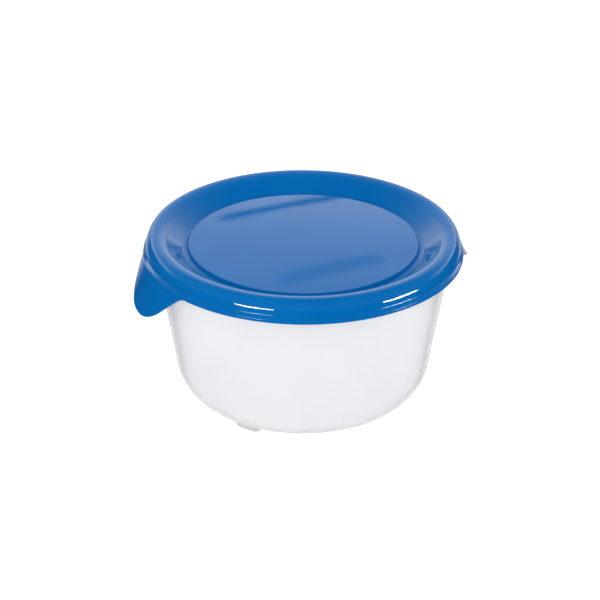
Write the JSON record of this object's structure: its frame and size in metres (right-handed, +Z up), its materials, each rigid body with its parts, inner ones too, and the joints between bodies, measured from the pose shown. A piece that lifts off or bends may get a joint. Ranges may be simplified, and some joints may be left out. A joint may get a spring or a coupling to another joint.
{
  "type": "snap-lid food storage tub",
  "caption": "Round clear tapered food tub with small feet, closed by a blue snap lid with a sunk domed disc and a long and a short pull tab hanging opposite each other.",
  "frame": {"origin": "on the table, under the middle of the tub", "axes": "+Z up along the tub's axis, the pull tabs lie on the X axis with the front tab on -X"},
  "size_m": [0.1354, 0.1254, 0.07],
  "materials": {
    "clear_plastic": "clear polypropylene, polished",
    "blue_plastic": "blue polyethylene, gloss"
  },
  "bodies": {
    "tub": {"tub": "clear_plastic"},
    "lid": {"lid": "blue_plastic"},
    "front_tab": {"front_pull_tab": "blue_plastic"},
    "rear_tab": {"rear_pull_tab": "blue_plastic"}
  },
  "joints": [
    {"name": "lid_lift", "type": "slide", "parent": "tub", "child": "lid", "axis": [0, 0, 1], "range_m": [0, 0.06]},
    {"name": "front_tab_flex", "type": "hinge", "parent": "lid", "child": "front_tab", "pos_m": [-0.0624, 0, 0.0614], "axis": [0, 1, 0], "range_deg": [0, 45], "stiffness_Nm_per_rad": 0.05},
    {"name": "rear_tab_flex", "type": "hinge", "parent": "lid", "child": "rear_tab", "pos_m": [0.0624, 0, 0.0614], "axis": [0, -1, 0], "range_deg": [0, 45], "stiffness_Nm_per_rad": 0.05}
  ]
}
